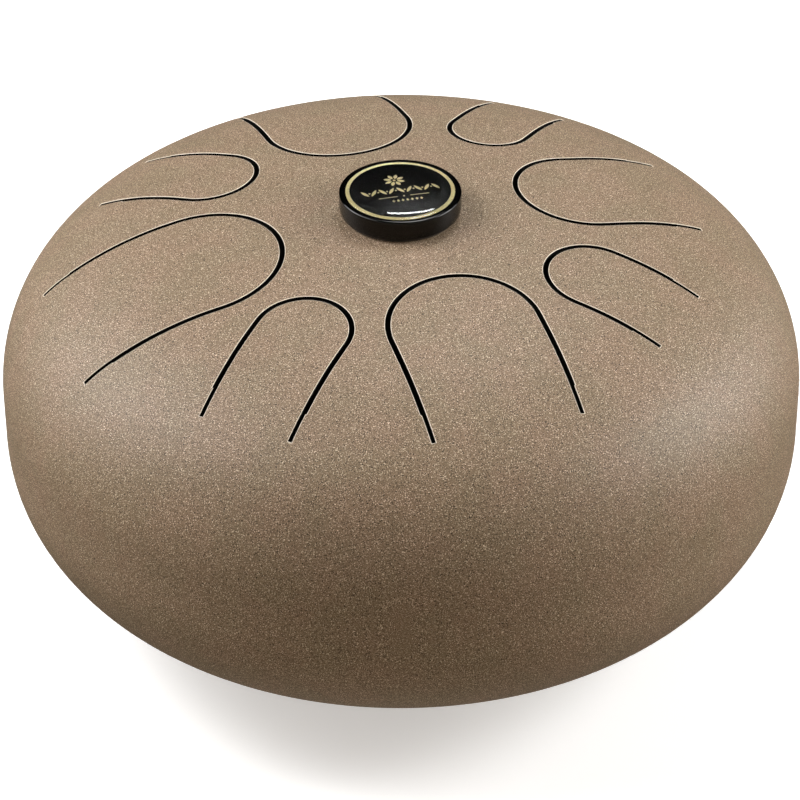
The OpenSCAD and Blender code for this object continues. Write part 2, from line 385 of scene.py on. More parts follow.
def inside(points, polygon):
    """Which points are inside the closed polygon."""
    x, y = points[:, 0], points[:, 1]
    result = np.zeros(len(points), bool)
    for (x0, y0), (x1, y1) in zip(polygon, np.roll(polygon, -1, 0)):
        crosses = (y0 > y) != (y1 > y)
        if y1 != y0:
            result ^= crosses & (x < (x1 - x0) * (y - y0) / (y1 - y0) + x0)
    return result


def grid_points(inner, outer):
    """Points of the unrolled plane on rings, GRID_STEP apart."""
    points = []
    rings = round((outer - inner) / GRID_STEP)
    for i in range(1, rings):
        s = inner + (outer - inner) * i / rings
        count = round(2 * math.pi * s / GRID_STEP)
        angles = (np.arange(count) + 0.5 * (i % 2)) * 2 * math.pi / count
        points.append(np.column_stack([s * np.cos(angles), s * np.sin(angles)]))
    return np.vstack(points)


def far_from(points, edges, distance):
    """The points that keep that distance from every sample of the edges."""
    keep = np.ones(len(points), bool)
    for edge in edges:
        for start in range(0, len(points), 2000):
            part = points[start:start + 2000]
            gap = np.min(np.hypot(*(part[:, None] - edge[None]).transpose(2, 0, 1)), 1)
            keep[start:start + 2000] &= gap > distance
    return points[keep]


def triangulate(loops, points, wanted):
    """Triangles over loops and loose points, kept where wanted(centres) says: indices into all points."""
    everything = np.vstack([*loops, points])
    edges, start = [], 0
    for loop in loops:
        count = len(loop)
        edges += [(start + i, start + (i + 1) % count) for i in range(count)]
        start += count
    verts, _, faces, origin, _, _ = delaunay_2d_cdt(
        [Vector(p / MM) for p in everything], edges, [], 0, 1e-7
    )
    back = [ids[0] for ids in origin]
    faces = np.array([[back[i] for i in face] for face in faces])
    return faces[wanted(everything[faces].mean(1))]


def sheet_piece(name, edges, loose_loops, points, wanted, up=1, rim_path=(), edge_parts=(3, 2)):
    """A piece of the pressed sheet: outer and inner surface, coat-rounded cut edges and walls.

    edges are (plan points, ways into the sheet) of the cut edges; loose_loops are closed loops
    of the unrolled plane that get a plain wall. rim_path is a path in (radius, z) that takes the
    last loose loop's wall from the outer to the inner surface. edge_parts are the materials of a
    cut edge's rounding and wall.
    """
    loops = [unroll(p + EDGE_R * into) for p, into in edges] + loose_loops
    faces = triangulate(loops, points, wanted)
    low = [unroll(p) for p, _ in edges] + loose_loops + [points]
    verts = [on_sheet(np.vstack([*loops, points]), 0, up), on_sheet(np.vstack(low), SHEET_T, up)]
    total = len(verts[0])
    face_list = [tuple(f) for f in faces] + [tuple(f[::-1] + total) for f in faces]
    part = [0] * len(faces) + [1] * len(faces)

    def band(upper, lower, kind):
        for quad in zip(upper, np.roll(upper, -1), np.roll(lower, -1), lower):
            face_list.append(tuple(int(i) for i in quad))
            part.append(kind)

    def new_ring(ring_points):
        first = sum(len(v) for v in verts)
        verts.append(ring_points)
        return np.arange(len(ring_points)) + first

    start = 0
    for plan, into in edges:
        rings = [np.arange(len(plan)) + start]
        for i in range(1, ROUND_STEPS + 1):
            turn = i / ROUND_STEPS * math.pi / 2
            shift, depth = EDGE_R * (1 - math.sin(turn)), EDGE_R * (1 - math.cos(turn))
            rings.append(new_ring(on_sheet(unroll(plan + shift * into), depth, up)))
        rings.append(np.arange(len(plan)) + start + total)
        for i, (upper, lower) in enumerate(zip(rings, rings[1:])):
            band(upper, lower, edge_parts[0] if i < ROUND_STEPS else edge_parts[1])
        start += len(plan)
    for loop in loose_loops:
        rings = [np.arange(len(loop)) + start]
        if loop is loose_loops[-1]:
            turn = loop / np.hypot(loop[:, 0], loop[:, 1])[:, None]
            rings += [new_ring(np.column_stack([turn * r, np.full(len(loop), z)])) for r, z in rim_path]
        rings.append(np.arange(len(loop)) + start + total)
        for i, (upper, lower) in enumerate(zip(rings, rings[1:])):
            band(upper, lower, 0 if i == 0 else 1)
        start += len(loop)

    raw = new_object(name, np.vstack(verts), face_list, [COAT, INSIDE, SHADED_SLOT_WALL, PAINTED_HIGHLIGHT_EDGE], part)
    obj = cleaned(raw, SHARP_SHEET)
    mesh = obj.data
    exact = sheet_normals([v.co for v in mesh.vertices], up)
    middle = sheet_normals([f.center for f in mesh.polygons], up)
    normals = np.zeros((len(mesh.loops), 3))
    for polygon, outward in zip(mesh.polygons, middle):
        facing = float(np.dot(outward, polygon.normal))
        if abs(facing) > 0.99:
            for loop in polygon.loop_indices:
                normals[loop] = math.copysign(1, facing) * exact[mesh.loops[loop].vertex_index]
    mesh.normals_split_custom_set([tuple(n) for n in normals])
    return obj


def lathe(name, section, materials, segments=SEGMENTS, sharp=35, section_material=None):
    """A closed section in (radius, z), turned about the Z axis. Points with radius 0 become poles."""
    section = np.array(section, float)
    count = len(section)
    angles = np.arange(segments) * 2 * math.pi / segments
    verts = np.concatenate([
        np.column_stack([r * np.cos(angles), r * np.sin(angles), np.full(segments, z)])
        for r, z in section
    ])
    faces, face_material = [], []
    for i in range(count):
        j = (i + 1) % count
        if section[i][0] == 0 and section[j][0] == 0:
            continue
        for k in range(segments):
            m = (k + 1) % segments
            faces.append((i * segments + k, i * segments + m, j * segments + m, j * segments + k))
            face_material.append(section_material[i] if section_material else 0)
    obj = new_object(name, verts, faces, materials, face_material)
    return cleaned(obj, sharp)


def rounded(corner_before, corner, corner_after, radius, steps=5):
    """Points that round one corner of a section."""
    before, at, after = (np.array(p, float) for p in (corner_before, corner, corner_after))
    to_before, to_after = before - at, after - at
    to_before /= np.linalg.norm(to_before)
    to_after /= np.linalg.norm(to_after)
    half = math.acos(np.clip(np.dot(to_before, to_after), -1, 1)) / 2
    length = radius / math.tan(half)
    middle = to_before + to_after
    centre = at + middle / np.linalg.norm(middle) * radius / math.sin(half)
    start, end = at + to_before * length - centre, at + to_after * length - centre
    first = math.atan2(start[1], start[0])
    sweep = math.atan2(end[1], end[0]) - first
    sweep = (sweep + math.pi) % (2 * math.pi) - math.pi
    angles = [first + sweep * i / steps for i in range(steps + 1)]
    return [tuple(centre + radius * np.array([math.cos(a), math.sin(a)])) for a in angles]


def rounded_section(corners, radii):
    """A closed section with each corner rounded by its own radius, or left sharp by 0."""
    points = []
    count = len(corners)
    for i, (corner, radius) in enumerate(zip(corners, radii)):
        if radius:
            points += rounded(corners[i - 1], corner, corners[(i + 1) % count], radius)
        else:
            points.append(tuple(corner))
    return points


# ---- materials ----

def node_material(name, colour, roughness, metallic=0.0):
    """A material and its Principled shader."""
    material = bpy.data.materials.new(name)
    material.use_nodes = True
    shader = material.node_tree.nodes["Principled BSDF"]
    shader.inputs["Base Color"].default_value = (*colour, 1)
    shader.inputs["Roughness"].default_value = roughness
    shader.inputs["Metallic"].default_value = metallic
    return material, shader


def add_node(material, kind, **values):
    """A node, with the inputs that values names."""
    node = material.node_tree.nodes.new(kind)
    for key, value in values.items():
        node.inputs[key.replace("_", " ")].default_value = value
    return node


def object_noise(material, scale, detail=2.0, roughness=0.5):
    """Noise in the drum's own coordinates."""
    place = add_node(material, "ShaderNodeTexCoord")
    noise = add_node(material, "ShaderNodeTexNoise", Scale=scale, Detail=detail, Roughness=roughness)
    material.node_tree.links.new(place.outputs["Object"], noise.inputs["Vector"])
    return noise.outputs["Fac"]


def set_ramp(band, stops):
    """Give a colour band its (position, colour) stops."""
    first, last = band.elements[0], band.elements[-1]
    first.position, first.color = stops[0][0], (*stops[0][1], 1)
    last.position, last.color = stops[-1][0], (*stops[-1][1], 1)
    for position, colour in stops[1:-1]:
        band.elements.new(position).color = (*colour, 1)


def ramp(material, source, stops):
    """A colour ramp over source: stops are (position, colour)."""
    node = add_node(material, "ShaderNodeValToRGB")
    material.node_tree.links.new(source, node.inputs["Fac"])
    set_ramp(node.color_ramp, stops)
    return node.outputs["Color"]


def mixed(material, blend, factor, first, second):
    """A colour mix; factor, first and second are sockets or plain values."""
    node = material.node_tree.nodes.new("ShaderNodeMix")
    node.data_type = "RGBA"
    node.blend_type = blend
    for socket_name, value in (("Factor", factor), ("A", first), ("B", second)):
        socket = node.inputs[socket_name]
        if hasattr(value, "is_linked"):
            material.node_tree.links.new(value, socket)
        else:
            socket.default_value = value if socket_name == "Factor" else (*value, 1)
    return node.outputs["Result"]


def clouded(material, shader, scale, detail, dark, light):
    """Colours the base between two tones by noise."""
    tone = ramp(material, object_noise(material, scale, detail), ((0.3, dark), (0.7, light)))
    material.node_tree.links.new(tone, shader.inputs["Base Color"])


def bump(material, shader, scale, strength, distance):
    """Fine noise in the surface's height."""
    node = add_node(material, "ShaderNodeBump", Strength=strength, Distance=distance)
    material.node_tree.links.new(object_noise(material, scale), node.inputs["Height"])
    material.node_tree.links.new(node.outputs["Normal"], shader.inputs["Normal"])


def powder_coat():
    """Bronze-brown powder coat with fine light and dark specks over a faint mottle."""
    material, shader = node_material("powder_coat", (0.2, 0.15, 0.1), 0.55)
    grain = ramp(material, object_noise(material, 2100, 1.0, 0.5), (
        (0.33, (0.006, 0.004, 0.002)), (0.415, (0.205, 0.146, 0.09)),
        (0.6, (0.236, 0.17, 0.107)), (0.745, (0.9, 0.78, 0.6)),
    ))
    mottle = ramp(material, object_noise(material, 45, 3.0), (
        (0.38, (0.96, 0.955, 0.94)), (0.62, (1.04, 0.985, 1.0)),
    ))
    coat = mixed(material, "MULTIPLY", 1.0, grain, mottle)
    material.node_tree.links.new(coat, shader.inputs["Base Color"])
    shader.inputs["Specular IOR Level"].default_value = 0.39
    bump(material, shader, 1100, 0.35, 0.03 * MM)
    return material


def inner_steel():
    """The shells' unlit inside, painted dark grey-brown as painted shade."""
    material, shader = node_material("inside_painted_shade", (0.05, 0.045, 0.04), 0.6, 0.2)
    clouded(material, shader, 60, 4.0, (0.035, 0.03, 0.027), (0.07, 0.06, 0.05))
    bump(material, shader, 900, 0.2, 0.03 * MM)
    return material


def slot_wall_painted_shade():
    """Cut edge of the sheet, painted near-black as painted shade: the slots' walls stand in shadow."""
    material, shader = node_material("slot_wall_painted_shade", (0.002, 0.002, 0.002), 0.8)
    shader.inputs["Specular IOR Level"].default_value = 0.1
    clouded(material, shader, 1300, 2.0, (0.001, 0.001, 0.001), (0.004, 0.003, 0.003))
    return material


def painted_highlight_edge():
    """Painted highlight: a pale tone over the slots' rounded edges, for the light lines that run along the
    slots.
    """
    material, shader = node_material("painted_highlight_edge", (0.8, 0.7, 0.58), 0.45)
    clouded(material, shader, 700, 3.0, (0.65, 0.57, 0.46), (0.95, 0.86, 0.72))
    return material


def puck_black():
    material, shader = node_material("puck_black", (0.0006, 0.0006, 0.0006), 0.1)
    shader.inputs["Specular IOR Level"].default_value = 0.3
    bump(material, shader, 900, 0.04, 0.01 * MM)
    return material


def rubber():
    material, shader = node_material("rubber", (0.02, 0.02, 0.02), 0.75)
    clouded(material, shader, 220, 4.0, (0.014, 0.014, 0.014), (0.032, 0.031, 0.03))
    bump(material, shader, 1800, 0.3, 0.03 * MM)
    return material


def zinc():
    material, shader = node_material("zinc_plate", (0.6, 0.6, 0.58), 0.32, 1.0)
    clouded(material, shader, 400, 4.0, (0.52, 0.52, 0.49), (0.68, 0.68, 0.67))
    bump(material, shader, 2600, 0.15, 0.01 * MM)
    return material


def badge_black():
    material, shader = node_material("badge_black", (0.0005, 0.0005, 0.0005), 0.2)
    clouded(material, shader, 900, 2.0, (0.0003, 0.0003, 0.0003), (0.0008, 0.0008, 0.0008))
    return material


def badge_gold():
    material, shader = node_material("badge_gold", (0.6, 0.5, 0.25), 0.3, 0.35)
    clouded(material, shader, 1200, 2.0, (0.72, 0.62, 0.3), (0.9, 0.8, 0.46))
    return material


def badge_resin():
    material, shader = node_material("badge_resin", (1, 1, 1), 0.03)
    shader.inputs["Transmission Weight"].default_value = 1.0
    shader.inputs["IOR"].default_value = 1.5
    return material


COAT = powder_coat()
# the shells' inside, painted dark as painted shade
INSIDE = inner_steel()
# the slots' walls, painted near-black as painted shade
SHADED_SLOT_WALL = slot_wall_painted_shade()
# the slots' rounded edges, painted pale as painted highlight
PAINTED_HIGHLIGHT_EDGE = painted_highlight_edge()
PUCK = puck_black()
RUBBER = rubber()
ZINC = zinc()
BADGE_BLACK = badge_black()
BADGE_GOLD = badge_gold()
RESIN = badge_resin()


# ---- shells and tongues ----

def as_part(piece, node, body="drum"):
    """Hangs a piece on its body when one is given, and hides the CAD node whose place it takes."""
    if body:
        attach(piece, body)
    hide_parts(node)


def ring_of(count):
    angles = np.arange(count) * 2 * math.pi / count
    return np.column_stack([np.cos(angles), np.sin(angles)])


def make_upper_shell():
    edges = [turned(window_edge(half_w, tip, root), angle) for angle, half_w, tip, root in TONGUES.values()]
    hole_s = float(along_sheet(HUB_HOLE_R))
    hole, rim = ring_of(24) * hole_s, ring_of(SEGMENTS) * SHEET_LENGTH
    holes = [unroll(p + EDGE_R * into) for p, into in edges] + [hole]
    points = far_from(grid_points(hole_s, SHEET_LENGTH), holes + [rim], CLEAR_STEP)
    for loop in holes:
        points = points[~inside(points, loop)]

    def wanted(centres):
        keep = inside(centres, rim)
        for loop in holes:
            keep &= ~inside(centres, loop)
        return keep

    as_part(sheet_piece("upper_shell", edges, [hole, rim], points, wanted), "top_shell")


def make_tongue(name, angle, half_w, tip, root):
    plan, into = turned(tongue_edge(half_w, tip, root), angle)
    loop = unroll(plan + EDGE_R * into)
    points = grid_points(GRID_STEP, SHEET_LENGTH)
    points = far_from(points[inside(points, loop)], [loop], CLEAR_STEP)
    piece = sheet_piece(name + "_plate", [(plan, into)], [], points, lambda centres: inside(centres, loop))
    as_part(piece, name, None)
    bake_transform(piece)


def make_lower_shell():
    turn = ring_of(120)
    port = (turn * PORT_R, turn)
    holes = []
    for place in foot_places():
        x, y = place.to_translation().xy
        holes.append(unroll(ring_of(24) * FOOT_HOLE_R + np.array([x, y])))
    rim = ring_of(SEGMENTS) * ARC_LENGTH
    inner_loops = [unroll(port[0] + EDGE_R * port[1])] + holes
    points = far_from(grid_points(float(along_sheet(PORT_R)), ARC_LENGTH), inner_loops + [rim], CLEAR_STEP)

    def wanted(centres):
        keep = inside(centres, rim)
        for loop in inner_loops:
            keep &= ~inside(centres, loop)
        return keep

    lip_out = BODY_R - SHEET_T - LIP_GAP
    lip_in = lip_out - SHEET_T
    joggle = [
        (BODY_R, SEAM_Z - BEAD_H), (lip_out, SEAM_Z), (lip_out, SEAM_Z + LIP_H),
        (lip_in, SEAM_Z + LIP_H), (lip_in, SEAM_Z - BEND_H), (BODY_R - SHEET_T, SEAM_Z - BEND_H - BEAD_H),
    ]
    shell = sheet_piece("lower_shell", [port], holes + [rim], points, wanted, -1, joggle, (0, 0))
    as_part(shell, "bottom_shell")


def make_weld_bead():
    bead = lathe("weld_bead_ground", [
        (BODY_R, SEAM_Z - BEAD_H), (BODY_R, SEAM_Z), (BODY_R - SHEET_T - LIP_GAP, SEAM_Z)
    ], [COAT])
    as_part(bead, "weld_bead")


# ---- fasteners ----

def circle(radius, z, count=96):
    return np.column_stack([ring_of(count) * radius, np.full(count, z)])


def hexagon(across_flats, z, count=96):
    """Points round a hexagon, spaced like the points of a circle."""
    angles = np.arange(count) * 2 * math.pi / count
    reach = across_flats / 2 / np.cos((angles + math.pi / 6) % (math.pi / 3) - math.pi / 6)
    return np.column_stack([ring_of(count) * reach[:, None], np.full(count, z)])


def loft(name, rings, materials, looped=False, sharp=30):
    """A skin over rings of equally many points; looped joins the last ring to the first."""
    count, total = len(rings[0]), len(rings)
    faces = []
    for i in range(total if looped else total - 1):
        j = (i + 1) % total
        for k in range(count):
            m = (k + 1) % count
            faces.append((i * count + k, i * count + m, j * count + m, j * count + k))
    if not looped:
        faces.append(tuple(range(count))[::-1])
        faces.append(tuple(range((total - 1) * count, total * count)))
    return cleaned(new_object(name, np.vstack(rings), faces, materials), sharp)


def thread(radius, pitch, low, high, count=96):
    """Rings of a helical thread that fades out at both ends."""
    angles = np.arange(count) * 2 * math.pi / count
    rings = []
    for z in np.arange(low, high + pitch / 20, pitch / 10):
        phase = (z / pitch - angles / (2 * math.pi)) % 1
        fade = min(1, (high - z) / pitch, (z - low) / pitch + 0.4)
        cut = THREAD_DEPTH * pitch * np.abs(2 * phase - 1) * max(fade, 0)
        rings.append(np.column_stack([ring_of(count) * (radius - cut)[:, None], np.full(count, z)]))
    return rings


def socket_screw(name, radius, pitch, length, threaded, head_r, head_h, socket_af, socket_depth):
    """A cap screw, head up, with its seat at z = 0."""
    knurl = np.where(np.arange(96) % 2, 1.0, 0.975)[:, None] * [1, 1, 0] + [0, 0, 1]
    edge = 0.3 * MM
    rings = [circle(radius - 2 * edge, -length), circle(radius - edge, -length + edge)]
    rings += thread(radius, pitch, -length + 2 * edge, -length + threaded)
    rings += [circle(radius, -edge), circle(radius + edge, 0)]
    rings += [circle(head_r - edge, 0), circle(head_r, edge)]
    rings += [circle(head_r, 2 * edge) * knurl, circle(head_r, head_h - 3 * edge) * knurl]
    rings += [circle(head_r, head_h - 2 * edge), circle(head_r - edge / 2, head_h - edge / 2),
              circle(head_r - 1.5 * edge, head_h)]
    rings += [hexagon(socket_af + edge, head_h), hexagon(socket_af, head_h - edge / 2),
              hexagon(socket_af, head_h - socket_depth)]
    return loft(name, rings, [ZINC])


def hex_nut(name, radius, across_flats, height):
    """A chamfered nut that stands on z = 0."""
    flat = hexagon(across_flats, 0)
    reach = np.hypot(flat[:, 0], flat[:, 1])
    chamfer_r = across_flats / 2 * 0.97
    drop = np.maximum(reach - chamfer_r, 0) * math.tan(math.radians(30))
    low, high = flat.copy(), flat.copy()
    low[:, 2], high[:, 2] = drop, height - drop
    mouth = 0.4 * MM
    rings = [
        circle(radius, mouth), circle(radius + mouth, 0), circle(chamfer_r, 0), low, high,
        circle(chamfer_r, height), circle(radius + mouth, height), circle(radius, height - mouth),
    ]
    return loft(name, rings, [ZINC], looped=True, sharp=20)


def washer(name, inner_r, outer_r, low, high):
    edge = 0.2 * MM
    corners = [(inner_r, low), (outer_r, low), (outer_r, high), (inner_r, high)]
    return lathe(name, rounded_section(corners, [edge / 2, edge, edge, edge / 2]), [ZINC], 96)


def moved(obj, matrix):
    obj.data.transform(matrix)
    return obj


def joined(name, pieces):
    """One mesh object made of several that have the same materials."""
    work = bmesh.new()
    for piece in pieces:
        work.from_mesh(piece.data)
    obj = bpy.data.objects.new(name, pieces[0].data.copy())
    work.to_mesh(obj.data)
    work.free()
    for piece in pieces:
        bpy.data.objects.remove(piece)
    bpy.context.scene.collection.objects.link(obj)
    obj.data.set_sharp_from_angle(angle=math.radians(30))
    return obj


# ---- puck and badge ----

def crown_height(r, growth):
    """Height, against the crown, of the crown's ball grown by a little."""
    return math.sqrt((CROWN_R + growth) ** 2 - r * r) - CROWN_R


def at_crown(corners):
    return [(r, CROWN_Z + z) for r, z in corners]


def make_gasket():
    low = [(r, crown_height(r, 0)) for r in np.linspace(HUB_HOLE_R, GASKET_R, 12)]
    high = [(r, crown_height(r, GASKET_T)) for r in np.linspace(GASKET_R, HUB_HOLE_R, 12)]
    bulge = [(GASKET_R + 0.12 * MM * math.sin(t), low[-1][1] + GASKET_T * (1 - math.cos(t)) / 2)
             for t in np.linspace(0.3, math.pi - 0.3, 7)]
    as_part(lathe("gasket", at_crown(low + bulge + high), [RUBBER], 180), "hub_gasket")


def make_puck():
    recess_z = PUCK_TOP - RECESS_DEPTH
    seat_z = recess_z - HUB_HEAD_H - HEAD_GAP
    foot_r = PUCK_R - PUCK_LEAN
    floor_z = crown_height(foot_r, GASKET_T)
    corners = [
        (foot_r, floor_z), (PUCK_R - PUCK_LEAN / 3, PUCK_FOOT_Z / 3),
        (PUCK_R, PUCK_FOOT_Z), (PUCK_R, PUCK_TOP),
        (BADGE_R + RECESS_GAP, PUCK_TOP), (BADGE_R + RECESS_GAP, recess_z),
        (HUB_HEAD_R + HUB_GAP, recess_z), (HUB_HEAD_R + HUB_GAP, seat_z), (HUB_HOLE_R, seat_z),
    ]
    radii = [0.3 * MM, 1.5 * MM, 3 * MM, 0.9 * MM, 0.25 * MM, 0.15 * MM, 0.2 * MM, 0.15 * MM, 0.2 * MM]
    underside = [(r, crown_height(r, GASKET_T)) for r in np.linspace(HUB_HOLE_R, foot_r - 1 * MM, 12)]
    section = rounded_section(corners + underside, radii + [0] * len(underside))
    as_part(lathe("puck", at_crown(section), [PUCK], sharp=40), "hub_puck")


def make_badge():
    plate_z = CROWN_Z + PUCK_TOP - RECESS_DEPTH
    print_z = CROWN_Z + PUCK_TOP - RECESS_DEPTH + BADGE_T
    edge = 0.1 * MM
    corners = [(0, plate_z), (BADGE_R, plate_z), (BADGE_R, print_z), (0, print_z)]
    face = lathe("badge_face", rounded_section(corners, [0, edge, edge, 0]), [BADGE_BLACK])
    as_part(face, "badge_plate")

    ring_in = BADGE_R - RING_W
    ring_z = print_z + RING_T
    corners = [(ring_in, print_z), (BADGE_R, print_z), (BADGE_R, ring_z), (ring_in, ring_z)]
    ring = lathe("ring", rounded_section(corners, [0, 0, 0.05 * MM, 0.05 * MM]), [BADGE_GOLD])
    as_part(joined("badge_print", [ring, badge_motif(print_z)]), "badge_ring")

    sunk = 0.02 * MM
    rim_z = CROWN_Z + PUCK_TOP
    dome = [(BADGE_R * (1 - t), rim_z + RESIN_RISE * (1 - (1 - t) ** RESIN_POWER) ** (1 / RESIN_POWER))
            for t in np.linspace(0, 1, 60) ** 2]
    low, high = print_z - sunk, ring_z - sunk
    base = [(0, low), (ring_in, low), (ring_in, high), (BADGE_R, high)]
    as_part(lathe("badge_dome", base + dome, [RESIN], sharp=60), "badge_resin")


def badge_motif(base_z):
    """Foil ornament: a rosette, leaves and beads, a parted line with a dot, and a row of lozenges."""
    verts, faces = [], []
    top_z = base_z + 0.06 * MM
    turn = Matrix.Rotation(BADGE_TURN, 2)

    def prism(outline):
        first, count = len(verts), len(outline)
        for z in (base_z, top_z):
            for point in outline:
                x, y = turn @ Vector(point)
                verts.append((x, y, z))
        faces.append(tuple(range(first, first + count))[::-1])
        faces.append(tuple(range(first + count, first + 2 * count)))
        for i in range(count):
            j = (i + 1) % count
            faces.append((first + i, first + j, first + count + j, first + count + i))

    def leaf(x, y, angle, length, width, count=10):
        """A pointed oval that starts at x, y."""
        side = [(length * t, width / 2 * math.sin(math.pi * t) ** 0.8) for t in np.linspace(0, 1, count)]
        outline = side + [(a, -b) for a, b in side[-2:0:-1]]
        c, s_ = math.cos(angle), math.sin(angle)
        prism([(x + a * c + b * s_, y + a * s_ - b * c) for a, b in outline])

    def dot(x, y, radius, count=16):
        angles = [2 * math.pi * i / count for i in range(count)]
        prism([(x + radius * math.cos(a), y + radius * math.sin(a)) for a in angles])

    def bar(x0, x1, y, width):
        prism([(x0, y - width / 2), (x1, y - width / 2), (x1, y + width / 2), (x0, y + width / 2)])

    centre = Vector((-0.9 * MM, 9.2 * MM))
    dot(*centre, 0.75 * MM)
    for i in range(8):
        angle = math.radians(45 * i + 22.5)
        way = Vector((math.cos(angle), math.sin(angle)))
        leaf(*(centre + way * 1.4 * MM), angle, 3.9 * MM, 1.9 * MM)

    for i in range(-4, 5):
        x = i * 4.4 * MM
        lean = math.radians(58 if i % 2 else 122)
        half = Vector((math.cos(lean), math.sin(lean))) * 3 * MM
        leaf(x - half.x, -0.2 * MM - half.y, lean, 6 * MM, 1.7 * MM)
        if i < 4:
            dot(x + 2.2 * MM, -0.2 * MM, 0.5 * MM)

    bar(-12 * MM, -2.6 * MM, -5.9 * MM, 0.4 * MM)
    bar(3.6 * MM, 13 * MM, -5.9 * MM, 0.4 * MM)
    dot(0.5 * MM, -5.9 * MM, 0.5 * MM)

    for i in range(-3, 4):
        x, y, reach = 1.5 * MM + i * 2.3 * MM, -9.6 * MM, 0.75 * MM
        prism([(x - reach, y), (x, y - 1.5 * reach), (x + reach, y), (x, y + 1.5 * reach)])
    return cleaned(new_object("motif", verts, faces, [BADGE_GOLD]))


def make_hub_fasteners():
    seat_z = CROWN_Z + PUCK_TOP - RECESS_DEPTH - HUB_HEAD_H - HEAD_GAP
    washer_z = CROWN_Z - SHEET_T - SEAT_SAG - HUB_WASHER_T
    nut_z = washer_z - HUB_NUT_H
    length = seat_z - nut_z + THREAD_PAST
    screw = socket_screw("hub_cap_screw", HUB_SCREW_R, HUB_PITCH, length, HUB_THREADED,
                         HUB_HEAD_R, HUB_HEAD_H, HUB_SOCKET_AF, HUB_SOCKET_DEPTH)
    as_part(moved(screw, Matrix.Translation((0, 0, seat_z))), "hub_screw")
    wide = washer("hub_wide_washer", HUB_HOLE_R, HUB_WASHER_R, washer_z, washer_z + HUB_WASHER_T)
    as_part(wide, "hub_washer")
    nut = hex_nut("hub_hex_nut", HUB_SCREW_R, HUB_NUT_AF, HUB_NUT_H)
    as_part(moved(nut, Matrix.Translation((0, 0, nut_z))), "hub_nut")


# ---- feet ----

def foot_places():
    """Frames on the lower shell's outer surface, one per foot, with local +Z pointing inwards."""
    gap = 2 * SEAM_Z - CROWN_Z
    tilt = math.asin(FOOT_PLACE_R / CROWN_R)
    return [
        Matrix.Translation((0, 0, gap + CROWN_R)) @ Matrix.Rotation(math.radians(-90 + 120 * k), 4, "Z")
        @ Matrix.Rotation(-tilt, 4, "Y") @ Matrix.Translation((0, 0, -CROWN_R))
        for k in range(3)
    ]


def foot_ring(place, radius, slope, height, count=96):
    """Local points at a height over the floor on the cone radius + slope * z."""
    points = []
    for c, s_ in ring_of(count):
        start = (place @ Vector((radius * c, radius * s_, 0))).z
        step = (place @ Vector(((radius + slope) * c, (radius + slope) * s_, 1))).z - start
        z = (height - start) / step
        points.append(((radius + slope * z) * c, (radius + slope * z) * s_, z))
    return np.array(points)


def make_feet():
    slope = (FOOT_R - FOOT_CONE_R) / (FOOT_CONE_H + 1 * MM)
    at_shell = FOOT_CONE_R + slope * FOOT_CONE_H
    feet, screws, washers, nuts = [], [], [], []
    for place in foot_places():
        def on_shell(radius):
            return circle(radius, CROWN_R - math.sqrt(CROWN_R ** 2 - radius ** 2))

        rings = [on_shell(at_shell - 0.5 * MM), circle(at_shell - 0.1 * MM, -0.1 * MM),
                 circle(at_shell - 0.5 * MM * slope, -0.5 * MM)]
        for i in range(7):
            turn = i / 6 * math.pi / 2
            inwards, height = FOOT_FILLET * (1 - math.cos(turn)), FOOT_FILLET * (1 - math.sin(turn))
            rings.append(foot_ring(place, at_shell - inwards, slope, height))
        bore = FOOT_HEAD_R + FOOT_GAP
        rings += [foot_ring(place, bore + 0.5 * MM, 0, 0), foot_ring(place, bore, 0, 0.5 * MM),
                  circle(bore, -FOOT_SEAT), circle(FOOT_HOLE_R, -FOOT_SEAT), on_shell(FOOT_HOLE_R)]
        feet.append(moved(loft("foot", rings, [RUBBER], looped=True), place))

        stack = SHEET_T + SEAT_SAG
        length = FOOT_SEAT + stack + FOOT_WASHER_T + FOOT_NUT_H + THREAD_PAST
        screw = socket_screw("screw", FOOT_SCREW_R, FOOT_PITCH, length, FOOT_THREADED,
                             FOOT_HEAD_R, FOOT_HEAD_H, FOOT_SOCKET_AF, FOOT_SOCKET_DEPTH)
        flip = Matrix.Rotation(math.pi, 4, "X")
        screws.append(moved(screw, place @ Matrix.Translation((0, 0, -FOOT_SEAT)) @ flip))
        ring = washer("washer", FOOT_HOLE_R, FOOT_WASHER_R, stack, stack + FOOT_WASHER_T)
        washers.append(moved(ring, place))
        nut = hex_nut("nut", FOOT_SCREW_R, FOOT_NUT_AF, FOOT_NUT_H)
        nuts.append(moved(nut, place @ Matrix.Translation((0, 0, stack + FOOT_WASHER_T))))
    as_part(joined("feet_rubber", feet), "rubber_feet")
    as_part(joined("feet_screws", screws), "foot_screws")
    as_part(joined("feet_washers", washers), "foot_washers")
    as_part(joined("feet_nuts", nuts), "foot_nuts")


make_upper_shell()
for tongue_name, tongue_size in TONGUES.items():
    make_tongue(tongue_name, *tongue_size)
make_lower_shell()
make_weld_bead()
make_gasket()
make_puck()
make_badge()
make_hub_fasteners()
make_feet()


# ---- floor, light and camera ----

def make_floor():
    """A pale disc that reflects nothing into the drum and is clear from below."""
    material, shader = node_material("floor", (0.93, 0.93, 0.93), 0.9)
    shader.inputs["Emission Color"].default_value = (1, 1, 1, 1)
    shader.inputs["Emission Strength"].default_value = FLOOR_GLOW
    nodes, links = material.node_tree.nodes, material.node_tree.links
    side = nodes.new("ShaderNodeNewGeometry")
    clear = nodes.new("ShaderNodeBsdfTransparent")
    either = nodes.new("ShaderNodeMixShader")
    links.new(side.outputs["Backfacing"], either.inputs["Fac"])
    links.new(shader.outputs["BSDF"], either.inputs[1])
    links.new(clear.outputs["BSDF"], either.inputs[2])
    links.new(either.outputs["Shader"], nodes["Material Output"].inputs["Surface"])
    edge = circle(FLOOR_R, 0)
    floor = new_object("floor", edge, [tuple(range(len(edge)))], [material])
    floor.visible_diffuse = False
    floor.visible_glossy = False
    return floor


